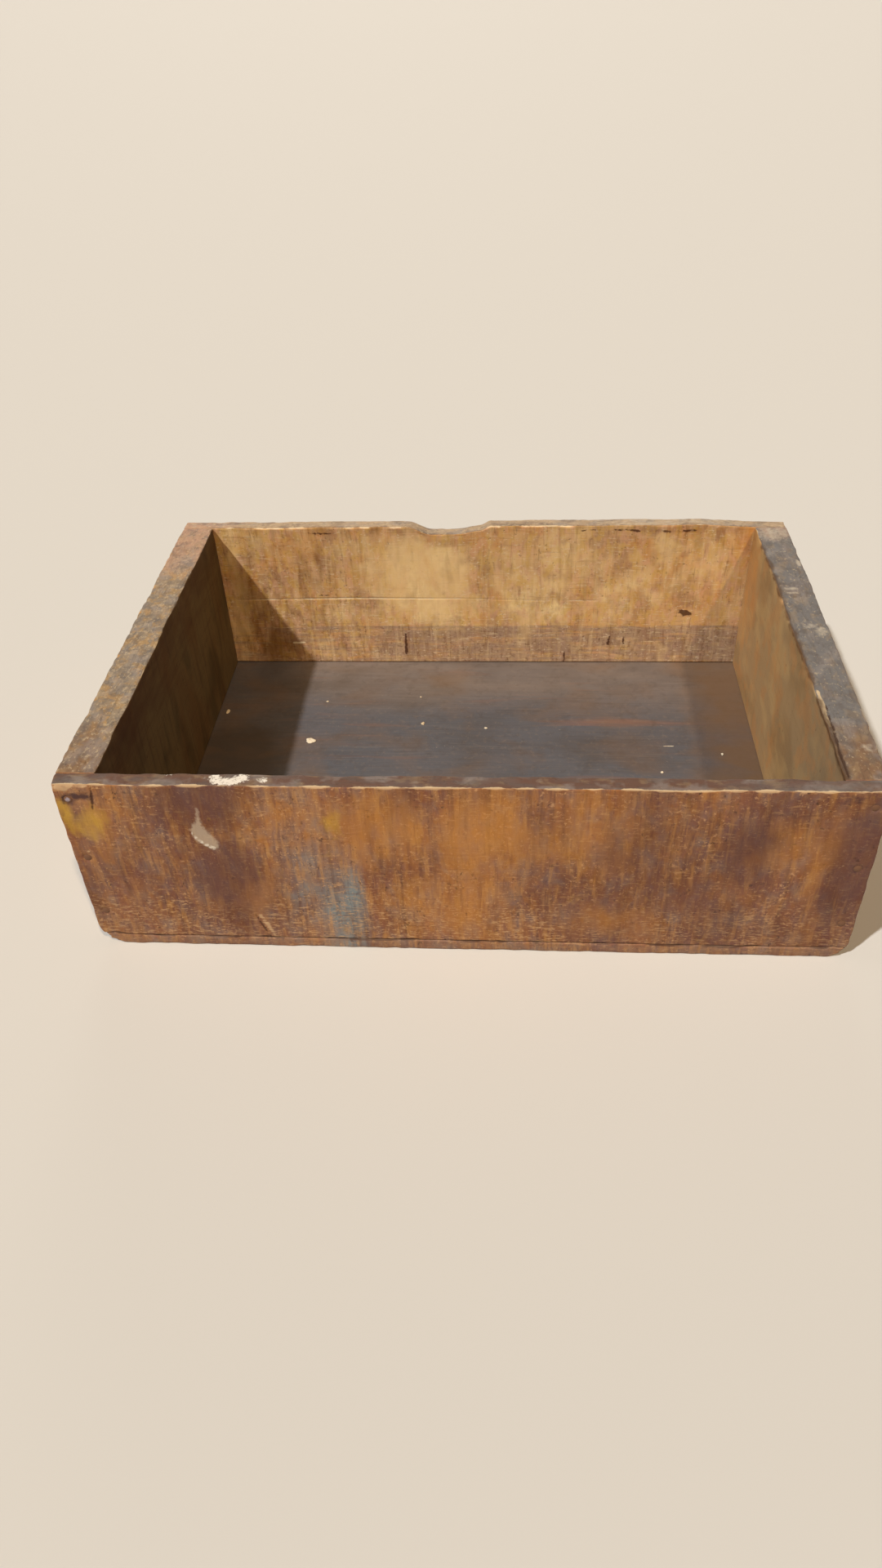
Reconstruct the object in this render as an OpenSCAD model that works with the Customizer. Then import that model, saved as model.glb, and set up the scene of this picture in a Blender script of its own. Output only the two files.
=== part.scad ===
// Open-topped wooden box, nailed together from five boards.
// Two thick end boards stand between a thin front board and a thin back board,
// and a thin bottom board is nailed on from below. The back board has a finger notch.
// Millimetres. +Z is up, +Y is towards the back, and the origin is in the middle of the underside.

/* [Box] */
// Outside width, left to right
box_w = 350; // [260:1:480]
// Outside depth, front to back
box_d = 243; // [190:1:340]
// Outside height
box_h = 100; // [75:1:160]

/* [Boards] */
// Thickness of the front board
front_t = 8; // [6:0.5:14]
// Thickness of the back board
back_t = 8; // [6:0.5:14]
// Thickness of the two end boards
end_t = 18; // [12:0.5:28]
// Thickness of the bottom board
bottom_t = 6; // [4:0.5:12]

/* [Wear] */
// Radius worn on the lower corners of the front and back boards
lower_corner_r = 8; // [2:0.5:12]
// Radius worn on the upper corners of the front and back boards
upper_corner_r = 3; // [1:0.5:6]
// Radius worn on the corners of the bottom board, seen from above
bottom_corner_r = 12; // [2:0.5:16]
// Radius eased along the long edges of every board
edge_r = 1; // [0.2:0.1:1.5]

/* [Finger notch] */
// Width of the notch at the top edge of the back board
notch_w = 44; // [24:1:80]
// Depth of the notch in its middle
notch_depth = 5; // [2:0.5:10]
// Place of the notch's middle, to the right of the box's middle
notch_x = -18; // [-60:1:60]

/* [Nails] */
// Diameter of the nail wire
shank_d = 1.8; // [1.2:0.1:2.4]
// Diameter of the nail heads
head_d = 3.6; // [3:0.1:5]
// Thickness of the nail heads
head_t = 1; // [0.6:0.1:1.4]
// Rise of a head's crown from its rim to its middle
head_crown = 0.4; // [0.1:0.1:0.5]
// Depth of the heads' crowns below the wood
head_sink = 0.2; // [0.1:0.1:0.6]
// Length of a nail's point
point_l = 4; // [2:0.5:6]
// Length of the nails at the corners
corner_nail_l = 32; // [24:1:45]
// Length of the nails in the bottom
bottom_nail_l = 26; // [18:1:40]
// Nails at each corner
corner_nail_count = 3; // [2:1:5]
// Nails under the front board, and under the back board
long_row_count = 5; // [3:1:9]
// Nails under each end board
short_row_count = 3; // [2:1:5]
// Distance of the corner nails from the box's left or right side
corner_nail_inset = 6; // [4:0.5:9]
// Distance of the top corner nails from the rim
top_nail_inset = 9; // [6:0.5:14]
// Distance of the lowest corner nails from the bottom board
low_nail_inset = 16; // [10:0.5:24]
// Wood left between the nails of two rows
row_gap = 9; // [4:0.5:16]
// Gap all round between a nail and its hole
nail_fit = 0.02; // [0.01:0.01:0.1]

/* [Hidden] */

LEFT = -1;
RIGHT = 1;
FRONT = -1;
BACK = 1;

$fn = 64;
wood_front = "#8f6039";
wood_back = "#a37a4a";
wood_end = "#8d765c";
wood_bottom = "#6f5a49";
iron = "#4c423c";

wall_h = box_h - bottom_t;
end_l = box_d - front_t - back_t;
end_mid_y = (front_t - back_t) / 2;

// The notch is an arc: its radius follows from its width and depth.
notch_r = (notch_w * notch_w / 4 + notch_depth * notch_depth) / (2 * notch_depth);

// A cut reaches this far past the face that it leaves through.
overcut = 1;

// The steps of a nail head's crown, from its middle to its rim.
crown_steps = 4;

// Even places from low to high, both ends included.
function spread(low, high, count) = [for (i = [0 : count - 1]) low + (high - low) * i / (count - 1)];

corner_nail_z = spread(bottom_t + low_nail_inset, box_h - top_nail_inset, corner_nail_count);
long_row_reach = box_w / 2 - end_t - row_gap;
long_row_x = spread(-long_row_reach, long_row_reach, long_row_count);
short_row_reach = box_d / 2 - corner_nail_l - row_gap;
short_row_y = spread(-short_row_reach, short_row_reach, short_row_count);
end_mid_x = box_w / 2 - end_t / 2;

function wall_t(side_y) = side_y == FRONT ? front_t : back_t;

// Flat outlines

// The waste outside a rounded corner at the origin, for an outline in the first quadrant.
module corner_waste(r) {
    difference() {
        translate([-overcut, -overcut]) square(r + overcut);
        translate([r, r]) circle(r);
        translate([r, -overcut]) square(r + overcut);
        translate([-overcut, r]) square(r + overcut);
    }
}

// A rectangle that stands on the X axis, centred on Y, with rounded lower and upper corners.
module rounded_outline(w, h, low_r, high_r) {
    difference() {
        translate([-w / 2, 0]) square([w, h]);
        for (flip = [0, 1]) mirror([flip, 0]) {
            translate([-w / 2, 0]) corner_waste(low_r);
            translate([-w / 2, h]) mirror([0, 1]) corner_waste(high_r);
        }
    }
}

// Extrusions of an outline, centred along the axis that they run along

module along_x(l) {
    rotate([90, 0, 90]) translate([0, 0, -l / 2]) linear_extrude(l) children();
}

module along_y(l) {
    rotate([90, 0, 0]) translate([0, 0, -l / 2]) linear_extrude(l) children();
}

// Nails

// A wire nail with its head at the wood's surface, driven towards +Z.
module nail(l) {
    head_r = head_d / 2;
    shank_r = shank_d / 2;
    tip_z = head_sink + l;
    crown = [
        for (i = [0 : crown_steps])
            let (u = i / crown_steps) [head_r * u, head_sink + head_crown * u * u]
    ];
    shank = [
        [head_r, head_sink + head_t],
        [shank_r, head_sink + head_t],
        [shank_r, tip_z - point_l],
        [0, tip_z]
    ];
    color(iron) rotate_extrude() polygon(concat(crown, shank));
}

// The hole that a nail makes: its shank, and a seat for its head.
module nail_hole(l) {
    translate([0, 0, -overcut]) cylinder(d = head_d + 2 * nail_fit, h = overcut + head_sink + head_t);
    cylinder(d = shank_d + 2 * nail_fit, h = head_sink + l + nail_fit);
}

// The nails of one corner, driven through the front or back board into an end board.
module at_corner(side_x, side_y) {
    for (z = corner_nail_z)
        translate([side_x * (box_w / 2 - corner_nail_inset), side_y * box_d / 2, z])
            rotate([90 * side_y, 0, 0]) children();
}

// The nails driven up through the bottom board into the front or back board.
module at_long_row(side_y) {
    for (x = long_row_x)
        translate([x, side_y * (box_d - wall_t(side_y)) / 2, 0]) children();
}

// The nails driven up through the bottom board into an end board.
module at_short_row(side_x) {
    for (y = short_row_y)
        translate([side_x * end_mid_x, y, 0]) children();
}

// Boards

// A front or back board before its nail holes, with its worn corners and eased edges.
module wall_blank(side_y) {
    t = wall_t(side_y);
    translate([0, side_y * (box_d - t) / 2, bottom_t]) intersection() {
        along_y(t) rounded_outline(box_w, wall_h, lower_corner_r, upper_corner_r);
        along_x(box_w) rounded_outline(t, wall_h, edge_r, edge_r);
    }
}

module wall_holes(side_y) {
    for (side_x = [LEFT, RIGHT]) at_corner(side_x, side_y) nail_hole(corner_nail_l);
    at_long_row(side_y) nail_hole(bottom_nail_l);
}

module front_board() {
    color(wood_front) difference() {
        wall_blank(FRONT);
        wall_holes(FRONT);
    }
}

module back_board() {
    color(wood_back) difference() {
        wall_blank(BACK);
        wall_holes(BACK);
        translate([notch_x, box_d / 2 - back_t / 2, box_h - notch_depth + notch_r])
            rotate([90, 0, 0]) cylinder(r = notch_r, h = back_t + 2 * overcut, center = true);
    }
}

module end_board(side_x) {
    color(wood_end) difference() {
        translate([side_x * end_mid_x, end_mid_y, bottom_t])
            along_y(end_l) rounded_outline(end_t, wall_h, edge_r, edge_r);
        for (side_y = [FRONT, BACK]) at_corner(side_x, side_y) nail_hole(corner_nail_l);
        at_short_row(side_x) nail_hole(bottom_nail_l);
    }
}

module left_end_board() {
    end_board(LEFT);
}

module right_end_board() {
    end_board(RIGHT);
}

module bottom_board() {
    color(wood_bottom) difference() {
        intersection() {
            linear_extrude(bottom_t)
                translate([0, -box_d / 2]) rounded_outline(box_w, box_d, bottom_corner_r, bottom_corner_r);
            along_x(box_w) rounded_outline(box_d, bottom_t, edge_r, edge_r);
            along_y(box_d) rounded_outline(box_w, bottom_t, edge_r, edge_r);
        }
        for (side_y = [FRONT, BACK]) at_long_row(side_y) nail_hole(bottom_nail_l);
        for (side_x = [LEFT, RIGHT]) at_short_row(side_x) nail_hole(bottom_nail_l);
    }
}

// Nail groups, one for each seam

module front_left_nails() {
    at_corner(LEFT, FRONT) nail(corner_nail_l);
}

module front_right_nails() {
    at_corner(RIGHT, FRONT) nail(corner_nail_l);
}

module back_left_nails() {
    at_corner(LEFT, BACK) nail(corner_nail_l);
}

module back_right_nails() {
    at_corner(RIGHT, BACK) nail(corner_nail_l);
}

module bottom_front_nails() {
    at_long_row(FRONT) nail(bottom_nail_l);
}

module bottom_back_nails() {
    at_long_row(BACK) nail(bottom_nail_l);
}

module bottom_left_nails() {
    at_short_row(LEFT) nail(bottom_nail_l);
}

module bottom_right_nails() {
    at_short_row(RIGHT) nail(bottom_nail_l);
}

front_board();
back_board();
left_end_board();
right_end_board();
bottom_board();
front_left_nails();
front_right_nails();
back_left_nails();
back_right_nails();
bottom_front_nails();
bottom_back_nails();
bottom_left_nails();
bottom_right_nails();
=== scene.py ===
import bpy
import numpy as np
from mathutils import Matrix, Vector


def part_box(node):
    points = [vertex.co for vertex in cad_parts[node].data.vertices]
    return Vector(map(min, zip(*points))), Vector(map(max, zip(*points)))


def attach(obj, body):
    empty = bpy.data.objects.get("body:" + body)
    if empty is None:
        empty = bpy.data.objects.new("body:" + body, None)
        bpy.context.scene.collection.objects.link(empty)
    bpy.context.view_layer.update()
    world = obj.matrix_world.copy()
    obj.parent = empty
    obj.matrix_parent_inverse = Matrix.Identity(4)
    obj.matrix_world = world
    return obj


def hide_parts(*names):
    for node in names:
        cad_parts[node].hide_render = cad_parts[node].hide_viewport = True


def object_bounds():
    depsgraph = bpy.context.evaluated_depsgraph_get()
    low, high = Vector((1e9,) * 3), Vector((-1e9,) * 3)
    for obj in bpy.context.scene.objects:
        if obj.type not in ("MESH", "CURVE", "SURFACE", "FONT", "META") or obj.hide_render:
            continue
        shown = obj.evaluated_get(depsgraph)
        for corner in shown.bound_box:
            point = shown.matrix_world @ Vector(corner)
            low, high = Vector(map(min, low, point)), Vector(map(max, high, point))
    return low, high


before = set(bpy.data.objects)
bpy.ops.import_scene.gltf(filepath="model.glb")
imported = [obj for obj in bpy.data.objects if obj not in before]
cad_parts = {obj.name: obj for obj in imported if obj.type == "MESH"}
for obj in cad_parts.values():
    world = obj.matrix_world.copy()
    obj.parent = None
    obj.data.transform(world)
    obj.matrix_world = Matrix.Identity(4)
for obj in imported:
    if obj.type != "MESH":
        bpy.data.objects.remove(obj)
cad_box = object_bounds()


# End boards
# Two thick pine boards, sawn along the grain, which stand between the front and the back and hold the
# corner nails. They were brushed with brown stain. Hands have worn their top edges uneven and grey, and
# along the inner edge of the right one a long splinter has lifted.

MM = 0.001


def corners(box):
    """The low and the high corner of a box in metres, turned to millimetres."""
    return [np.array(corner) / MM for corner in box]


box_low, box_high = corners(cad_box)


def linear(colour):
    """A colour written as sRGB hex, turned to linear red, green and blue, with full alpha."""
    srgb = np.array([int(colour[i:i + 2], 16) for i in (1, 3, 5)]) / 255
    channels = np.where(srgb <= 0.04045, srgb / 12.92, ((srgb + 0.055) / 1.055) ** 2.4)
    return (*channels.tolist(), 1.0)


def add(tree, kind, result=None, sockets=None, **settings):
    """Adds a node, sets its fields, fills or links sockets by identifier, and gives the named output."""
    made = tree.nodes.new(kind)
    for field, value in settings.items():
        setattr(made, field, value)
    inputs = {socket.identifier: socket for socket in made.inputs}
    for name, value in (sockets or {}).items():
        if isinstance(value, bpy.types.NodeSocket):
            tree.links.new(value, inputs[name])
        else:
            inputs[name].default_value = value
    return {socket.identifier: socket for socket in made.outputs}.get(result)


def empty_tree(owner):
    """The node tree of a new material or world, without the nodes that it starts with."""
    owner.use_nodes = True
    owner.node_tree.nodes.clear()
    return owner.node_tree


ALONG_X, ALONG_Y, ALONG_Z = 0, 1, 2
# Growth rings are never quite straight: over each drift length the grain wanders within the drift reach.
DRIFT_LENGTH, DRIFT_REACH = 45, 4
# Each tint reads another part of the noise, so that tints of one size don't fall on the same places.
TINT_SHIFT = 0.13
# Raw fibres and dust swallow light, so old wood mirrors less than half of what a sealed surface does.
WOOD_REFLECTION = 0.2


def tinted(name, ground, tints, rough, grain=ALONG_X):
    """A material as a stack of tints over a ground colour.
    A tint's cloud is noise of its own size in millimetres, given along the grain, through the board and up
    it. The marks that the piece carries for that tint are added to the cloud. The tint starts where the sum
    passes the first of its two limits and has its full strength at the second. Its relief in millimetres
    goes into the bump, and its roughness is added to the ground's."""
    material = bpy.data.materials.new(name)
    tree = empty_tree(material)
    axes = (0, 1, 2) if grain == ALONG_X else (1, 0, 2)
    straight = add(tree, "ShaderNodeTexCoord", "Object")
    drift = add(tree, "ShaderNodeTexNoise", "Color", {
        "Vector": straight, "Scale": 1 / (DRIFT_LENGTH * MM), "Detail": 1})
    place = add(tree, "ShaderNodeVectorMath", "Vector", {
        "Vector": drift, "Vector_001": (DRIFT_REACH * MM,) * 3, "Vector_002": straight},
        operation="MULTIPLY_ADD")
    colour = linear(ground)
    height = 0.0
    for number, tint in enumerate(tints, start=1):
        size = [tint["size"][axis] * MM for axis in axes]
        own_place = add(tree, "ShaderNodeMapping", "Vector", {
            "Vector": place, "Location": (TINT_SHIFT * number,) * 3, "Scale": size}, vector_type="TEXTURE")
        cloud = add(tree, "ShaderNodeTexNoise", "Fac", {
            "Vector": own_place, "Scale": 1, "Detail": tint.get("detail", 4),
            "Roughness": 0.55, "Distortion": 0.25})
        for mark in tint.get("marks", ()):
            carried = add(tree, "ShaderNodeAttribute", "Fac", attribute_name=mark)
            cloud = add(tree, "ShaderNodeMath", "Value", {
                "Value": cloud, "Value_001": carried}, operation="ADD")
        start, full = tint["over"]
        amount = add(tree, "ShaderNodeMapRange", "Result", {
            "Value": cloud, "From Min": start, "From Max": full, "To Max": tint["strength"]})
        colour = add(tree, "ShaderNodeMix", "Result_Color", {
            "Factor_Float": amount, "A_Color": colour, "B_Color": linear(tint["tone"])}, data_type="RGBA")
        if "relief" in tint:
            height = add(tree, "ShaderNodeMath", "Value", {
                "Value": amount, "Value_001": tint["relief"], "Value_002": height}, operation="MULTIPLY_ADD")
        if "rough" in tint:
            rough = add(tree, "ShaderNodeMath", "Value", {
                "Value": amount, "Value_001": tint["rough"], "Value_002": rough}, operation="MULTIPLY_ADD")
    normal = add(tree, "ShaderNodeBump", "Normal", {"Height": height, "Distance": MM})
    surface = add(tree, "ShaderNodeBsdfPrincipled", "BSDF", {
        "Base Color": colour, "Roughness": rough, "Specular IOR Level": WOOD_REFLECTION, "Normal": normal})
    add(tree, "ShaderNodeOutputMaterial", sockets={"Surface": surface})
    return material


def smooth(low, high, value):
    """0 below low, 1 above high, and the cubic 3t² - 2t³ between them."""
    share = np.clip((value - low) / (high - low), 0, 1)
    return share * share * (3 - 2 * share)


def grid_lines(low, high, step, fine_step, places, reach):
    """Line places from low to high, a step apart, and closer round the given places.
    The running sum of a density, which is one line a step and rises to one a fine step in a bell at each
    place, is cut into equal shares."""
    samples = 4000
    along = np.linspace(low, high, samples)
    bells = np.exp(-((along[:, None] - np.array(places)) / reach) ** 2).max(axis=1)
    density = 1 / step + (1 / fine_step - 1 / step) * bells
    running = np.concatenate([[0], np.cumsum((density[1:] + density[:-1]) / 2 * np.diff(along))])
    return np.interp(np.linspace(0, running[-1], round(running[-1]) + 1), running, along)


def board_skin(xs, ys, zs):
    """The skin of a sawn board: six flat grids on the given lines, which share the points on their borders.
    Gives the points, and four point numbers for each cell, turned so that the cell faces outwards."""
    counts = (len(xs), len(ys), len(zs))
    outer = [(places == 0) | (places == count - 1) for places, count in zip(np.indices(counts), counts)]
    on_skin = np.any(outer, axis=0)
    number = np.zeros(counts, int)
    number[on_skin] = np.arange(on_skin.sum())
    points = np.stack(np.meshgrid(xs, ys, zs, indexing="ij"), axis=-1)[on_skin]
    cells = []
    for axis, turn in enumerate((1, -1, 1)):
        for end, facing in ((0, -1), (-1, 1)):
            grid = number.take(end, axis)
            ring = np.stack([grid[:-1, :-1], grid[1:, :-1], grid[1:, 1:], grid[:-1, 1:]], axis=-1)
            cells.append(ring.reshape(-1, 4)[:, ::turn * facing])
    return points, np.concatenate(cells)


def lies_on(flat, cells, axis, place):
    """Whether each cell of a flat board's skin lies on the side at that place along the axis."""
    return np.all(flat[cells][:, :, axis] == place, axis=1)


def unevenness(points, length, seed):
    """Smooth chance height with a spread of about 1: a sum of sine waves of about one length, in
    millimetres, whose headings and phases are drawn from the seed."""
    draw = np.random.default_rng(seed)
    waves = 20
    heading = draw.normal(size=(3, waves))
    heading /= np.linalg.norm(heading, axis=0)
    pace = 2 * np.pi / (length * draw.uniform(0.7, 1.5, waves))
    phase = draw.uniform(0, 2 * np.pi, waves)
    return np.sin(points @ heading * pace + phase).sum(axis=1) * np.sqrt(2 / waves)


def eased(points, low, high, radius):
    """A board with its edges worn round: each point is drawn to its own radius from the box that lies
    that radius inside the board."""
    radius = radius[:, None]
    core = np.clip(points, low + radius, high - radius)
    out = points - core
    return core + out * (radius / np.linalg.norm(out, axis=1, keepdims=True))


def round_corners(points, low, high, first, second, radii):
    """Worn corners of an outline in the plane of two axes, with the radii in the order low and low, high
    and low, low and high, high and high. In the square at each corner, squares round the corner's centre
    become circles: an offset (a, b) from the centre is shortened by max(a, b) over its length."""
    plane = [first, second]
    rounded = points.copy()
    for number, radius in enumerate(radii):
        way = np.array([(-1, 1)[number % 2], (-1, 1)[number // 2]])
        corner = np.where(way > 0, high[plane], low[plane])
        offset = np.maximum((points[:, plane] - corner) * way + radius, 0)
        in_square = (offset > 0).all(axis=1)
        shorten = offset[in_square].max(axis=1) / np.linalg.norm(offset[in_square], axis=1)
        rounded[np.ix_(in_square, plane)] = corner + (offset[in_square] * shorten[:, None] - radius) * way
    return rounded


# The box's corners were knocked round as a whole: lower left, lower right, upper left and upper right. The
# wear reaches so deep into the box from its front and its back.
CORNER_WEAR = (13, 10, 1.4, 2.5)
CORNER_WEAR_DEPTH = 25


def knocked_corners(points):
    """The box's four corners worn round as seen from the front, fading from its front and back inwards."""
    y = points[:, 1]
    from_ends = np.minimum(y - box_low[1], box_high[1] - y)
    share = 1 - smooth(0, CORNER_WEAR_DEPTH, from_ends)
    rounded = round_corners(points, box_low, box_high, ALONG_X, ALONG_Z, CORNER_WEAR)
    return points + share[:, None] * (rounded - points)


def edge_gap(points, low, high):
    """Distance of a skin point from the nearest edge: the second least distance from the six sides."""
    return np.partition(np.minimum(points - low, high - points), 1, axis=1)[:, 1]


def soft_spots(points, spots):
    """The strongest of some bells, each strength times exp(-r²), with r in the spot's own three reaches."""
    shade = np.zeros(len(points))
    for middle, reach, strength in spots:
        bell = np.exp(-(((points - middle) / reach) ** 2).sum(axis=1))
        shade = np.maximum(shade, strength * bell)
    return shade


def stroke_mark(points, path, softness):
    """A brush stroke along a path of (x, y, z, radius): half at its outline, 1 inside it and 0 outside it,
    with a slope over the softness to each side. The depth is a tapering radius less the distance from each
    straight run."""
    path = np.array(path, float)
    depth = np.full(len(points), -np.inf)
    for first, last in zip(path[:-1], path[1:]):
        run = last[:3] - first[:3]
        share = np.clip((points - first[:3]) @ run / (run @ run), 0, 1)
        nearest = first[:3] + share[:, None] * run
        radius = first[3] + share * (last[3] - first[3])
        depth = np.maximum(depth, radius - np.linalg.norm(points - nearest, axis=1))
    return np.clip(0.5 + depth / (2 * softness), 0, 1)


def strokes(points, paths, softness):
    """The strongest of several brush strokes, each given as its strength and its path."""
    return np.max([strength * stroke_mark(points, path, softness) for strength, path in paths], axis=0)


def piece_from(name, points, cells, materials, sides, marks):
    """An object at the origin whose mesh has the given points, in millimetres, a material number for each
    cell, and each mark as a value on the points."""
    mesh = bpy.data.meshes.new(name)
    mesh.from_pydata((points * MM).tolist(), [], cells.tolist())
    for material in materials:
        mesh.materials.append(material)
    mesh.polygons.foreach_set("material_index", sides.astype(np.int32))
    mesh.polygons.foreach_set("use_smooth", np.ones(len(cells), bool))
    for mark, values in marks.items():
        carried = mesh.attributes.new(mark, "FLOAT", "POINT")
        carried.data.foreach_set("value", values.astype(np.float32))
    mesh.update()
    piece = bpy.data.objects.new(name, mesh)
    bpy.context.scene.collection.objects.link(piece)
    return piece


# Stained pine: a rough-sawn face that took the stain unevenly. The eye sees big patches of orange, red and
# purple brown, small golden and mauve blotches in them, thin saw strokes across the grain, pits and chipped
# pale flecks, all under a thin grey dust.
outside_ground = "#805436"
outside_tints = [
    dict(tone="#b47936", size=(60, 40, 44), over=(0.46, 0.64), strength=0.64, marks=("gold_and_painted_bounce",), detail=2),
    dict(tone="#5c3726", size=(50, 34, 50), over=(0.56, 0.82), strength=0.62, marks=("dark_and_painted_shade",), detail=2),
    dict(tone="#7f482f", size=(16, 12, 36), over=(0.47, 0.61), strength=0.40, detail=3),
    dict(tone="#6c4334", size=(8, 9, 30), over=(0.50, 0.62), strength=0.40, detail=3),
    dict(tone="#9c6836", size=(6, 7, 26), over=(0.51, 0.66), strength=0.40, detail=3),
    dict(tone="#7e5245", size=(3.2, 4, 10), over=(0.50, 0.64), strength=0.42, detail=2),
    dict(tone="#a67339", size=(3.0, 4, 9), over=(0.51, 0.64), strength=0.38, detail=2),
    dict(tone="#76868a", size=(8, 8, 12), over=(0.45, 1.30), strength=0.88, marks=("blue",), detail=3),
    dict(tone="#5a352c", size=(2.2, 6, 18), over=(0.51, 0.66), strength=0.40, relief=-0.07),
    dict(tone="#be8b4c", size=(2.4, 6, 16), over=(0.52, 0.66), strength=0.42, relief=0.04),
    dict(tone="#563524", size=(2.6, 6, 60), over=(0.52, 0.66), strength=0.36, relief=-0.04),
    dict(tone="#5a3828", size=(18, 4, 1.3), over=(0.57, 0.70), strength=0.36, relief=-0.05),
    dict(tone="#c39864", size=(5, 4, 1.2), over=(0.58, 0.69), strength=0.40, relief=0.03),
    dict(tone="#4a282a", size=(1.4, 1.4, 1.8), over=(0.58, 0.70), strength=0.42, relief=-0.05),
    dict(tone="#d0a272", size=(1.6, 1.6, 1.5), over=(0.59, 0.69), strength=0.50),
    dict(tone="#cfa878", size=(3.4, 3, 0.8), over=(0.60, 0.68), strength=0.50, marks=("fleck",),
         relief=-0.05),
    dict(tone="#311d10", size=(2.4, 2.4, 3.0), over=(0.65, 0.73), strength=0.70, relief=-0.12),
    dict(tone="#5a372b", size=(30, 22, 50), over=(0.56, 1.00), strength=0.74, marks=("dark_and_painted_shade",), detail=2),
    dict(tone="#bb7f36", size=(24, 18, 44), over=(0.55, 0.92), strength=0.60, marks=("gold_and_painted_bounce",), detail=2),
    dict(tone="#bd9434", size=(6, 6, 12), over=(0.66, 1.05), strength=0.78, marks=("ochre",), detail=3),
    dict(tone="#858096", size=(14, 10, 24), over=(0.30, 0.60), strength=0.06, detail=2),
    dict(tone="#33222c", size=(3, 3, 3), over=(0.80, 1.20), strength=0.85, marks=("iron",)),
    dict(tone="#3a1d10", size=(6, 2, 2), over=(0.90, 1.14), strength=0.85, marks=("crack",), relief=-0.2),
    dict(tone="#c2a27c", size=(4, 1.2, 0.8), over=(0.94, 1.20), strength=0.80, marks=("rub",), rough=0.15),
    dict(tone="#bfae98", size=(1.4, 1.4, 2), over=(0.80, 1.20), strength=0.60, marks=("paint",),
         relief=0.10),
    dict(tone="#e2d9c9", size=(1.6, 1.6, 2), over=(0.88, 1.16), strength=0.80, marks=("thick_paint",),
         relief=0.08),
]

# Honey-coloured pine: the inside had little stain and has gone golden with age. The eye sees soft orange,
# pink and yellow blotches, thin pale scratches along the grain, a few dark saw ticks across it and a greyer
# band low down.
inside_ground = "#dbb07c"
inside_tints = [
    dict(tone="#ffe0a2", size=(30, 20, 24), over=(0.54, 0.86), strength=0.95, marks=("gold_and_painted_bounce",), detail=2),
    dict(tone="#a0764f", size=(22, 16, 18), over=(0.50, 0.74), strength=0.55, marks=("dark_and_painted_shade",), detail=3),
    dict(tone="#d3914a", size=(14, 10, 18), over=(0.47, 0.60), strength=0.52, detail=3),
    dict(tone="#a57c62", size=(10, 8, 13), over=(0.50, 0.62), strength=0.52, detail=3),
    dict(tone="#e2b08c", size=(5, 5, 9), over=(0.50, 0.61), strength=0.50, detail=2),
    dict(tone="#dcb25c", size=(4.5, 5, 8), over=(0.51, 0.61), strength=0.46, detail=2),
    dict(tone="#a28877", size=(30, 20, 3), over=(0.90, 1.12), strength=0.76, marks=("band",)),
    dict(tone="#8f643c", size=(3.2, 5, 30), over=(0.52, 0.68), strength=0.32, relief=-0.04),
    dict(tone="#f0d2a0", size=(3.2, 5, 34), over=(0.52, 0.68), strength=0.36),
    dict(tone="#f0d8ae", size=(9, 5, 0.9), over=(0.58, 0.69), strength=0.50, relief=0.03),
    dict(tone="#8d6640", size=(26, 5, 1.3), over=(0.59, 0.71), strength=0.36, relief=-0.04),
    dict(tone="#77502f", size=(1.6, 4, 13), over=(0.58, 0.70), strength=0.38, marks=("ticks",),
         relief=-0.07),
    dict(tone="#6b4828", size=(1.9, 1.9, 1.9), over=(0.60, 0.71), strength=0.42, marks=("ticks",),
         relief=-0.04),
    dict(tone="#f8e4c2", size=(2.4, 2, 1.4), over=(0.59, 0.69), strength=0.42),
    dict(tone="#573820", size=(1.9, 2, 2.4), over=(0.67, 0.74), strength=0.60, relief=-0.10),
    dict(tone="#fbd79c", size=(14, 12, 16), over=(0.60, 0.95), strength=0.70, marks=("gold_and_painted_bounce",), detail=2),
    dict(tone="#dc9348", size=(12, 12, 20), over=(0.60, 1.00), strength=0.50, marks=("orange_and_painted_bounce",), detail=2),
    dict(tone="#7b5423", size=(8, 8, 24), over=(0.55, 1.05), strength=0.70, marks=("brown_and_painted_shade",), detail=2),
    dict(tone="#4a2818", size=(2.4, 3, 1.8), over=(0.90, 1.12), strength=0.88, marks=("knot",)),
    dict(tone="#efdcb8", size=(4, 2, 1.4), over=(0.96, 1.18), strength=0.80, marks=("rub",), rough=0.15),
]

# Handled pine: the inner faces of the ends are rubbed smooth. The eye sees only soft zones of lighter and
# darker stain up the board, with faint saw strokes. The left one's darker, more olive tones are painted
# shade, for the key light's shadow that falls on it.
left_inside_painted_shade_tints = [
    dict(tone="#5f4222", size=(30, 20, 60), over=(0.47, 0.64), strength=0.60, detail=2),
    dict(tone="#3d3219", size=(20, 16, 50), over=(0.50, 0.66), strength=0.60, detail=2),
    dict(tone="#2f2112", size=(3, 5, 40), over=(0.52, 0.68), strength=0.34, relief=-0.03),
    dict(tone="#7d5c34", size=(3, 5, 36), over=(0.56, 0.70), strength=0.24),
    dict(tone="#2c1e10", size=(30, 4, 1.2), over=(0.54, 0.70), strength=0.24, relief=-0.04),
    dict(tone="#24180c", size=(2, 2, 2), over=(0.63, 0.72), strength=0.50, relief=-0.08),
    dict(tone="#43210f", size=(20, 6, 6), over=(0.60, 1.05), strength=0.60, marks=("red",), detail=2),
]
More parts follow.
